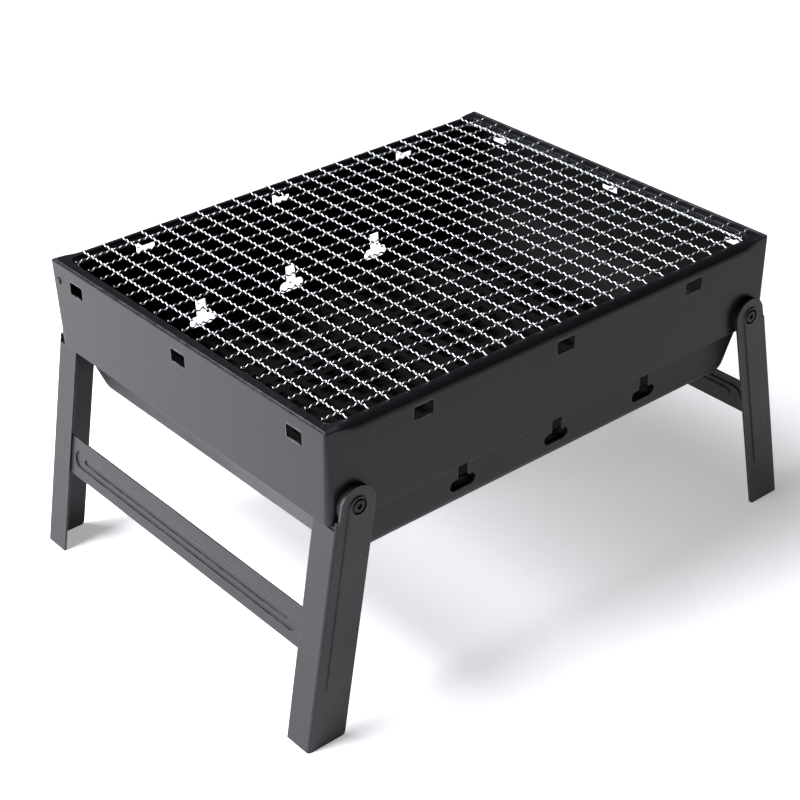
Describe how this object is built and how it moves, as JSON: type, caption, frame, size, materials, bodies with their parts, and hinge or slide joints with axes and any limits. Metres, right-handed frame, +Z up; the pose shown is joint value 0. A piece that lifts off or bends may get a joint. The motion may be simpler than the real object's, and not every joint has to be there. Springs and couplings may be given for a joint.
{
  "type": "folding camp grill",
  "caption": "Portable charcoal grill: a black sheet body with a lift-off wire grate, a hanging fire pan and splayed folding leg frames.",
  "frame": {"origin": "centre of the footprint on the surface that the feet stand on", "axes": "+Z up, +X along the long side, -Y is the front long side, -X is the left end"},
  "size_m": [0.403, 0.2858, 0.203],
  "materials": {
    "black_powder_coat": "satin black powder coat",
    "leg_powder_coat": "satin black powder coat",
    "black_grate_steel": "matte black heat-resistant coat",
    "chromed_wire": "bright chromed wire",
    "black_hardware": "black oxide with a little wear",
    "spacer_rubber": "matte black rubber",
    "plated_nut": "zinc plated"
  },
  "bodies": {
    "body": {"body_frame": "black_powder_coat", "seam_rivet": "black_hardware", "pivot_screw_front_left": "black_hardware", "pivot_screw_front_right": "black_hardware", "pivot_screw_rear_left": "black_hardware", "pivot_screw_rear_right": "black_hardware", "pivot_spacer_front_left": "spacer_rubber", "pivot_spacer_front_right": "spacer_rubber", "pivot_spacer_rear_left": "spacer_rubber", "pivot_spacer_rear_right": "spacer_rubber", "pivot_nut_front_left": "plated_nut", "pivot_nut_front_right": "plated_nut", "pivot_nut_rear_left": "plated_nut", "pivot_nut_rear_right": "plated_nut"},
    "left_legs": {"leg_front_left": "leg_powder_coat", "leg_rear_left": "leg_powder_coat", "crossbar_left": "leg_powder_coat"},
    "right_legs": {"leg_front_right": "leg_powder_coat", "leg_rear_right": "leg_powder_coat", "crossbar_right": "leg_powder_coat"},
    "pan": {"fire_pan": "black_powder_coat"},
    "coal_grate": {"charcoal_grate": "black_grate_steel"},
    "cooking_grate": {"grill_wires_long": "chromed_wire", "grill_wires_cross": "chromed_wire", "grill_border_rod": "chromed_wire"}
  },
  "joints": [
    {"name": "left_leg_fold", "type": "hinge", "parent": "body", "child": "left_legs", "pos_m": [-0.158, 0, 0.1505], "axis": [0, -1, 0], "range_deg": [0, 101]},
    {"name": "right_leg_fold", "type": "hinge", "parent": "body", "child": "right_legs", "pos_m": [0.158, 0, 0.1505], "axis": [0, 1, 0], "range_deg": [0, 101]},
    {"name": "pan_lift", "type": "slide", "parent": "body", "child": "pan", "axis": [0, 0, 1], "range_m": [0, 0.0361]},
    {"name": "coal_grate_lift", "type": "slide", "parent": "pan", "child": "coal_grate", "axis": [0, 0, 1], "range_m": [0, 0.038]},
    {"name": "cooking_grate_lift", "type": "slide", "parent": "body", "child": "cooking_grate", "axis": [0, 0, 1], "range_m": [0, 0.06]}
  ],
  "couplings": [
    {"joint": "right_leg_fold", "follows": "left_leg_fold", "ratio": 1},
    {"joint": "pan_lift", "follows": "left_leg_fold", "m_per_rad": 0.020422}
  ]
}
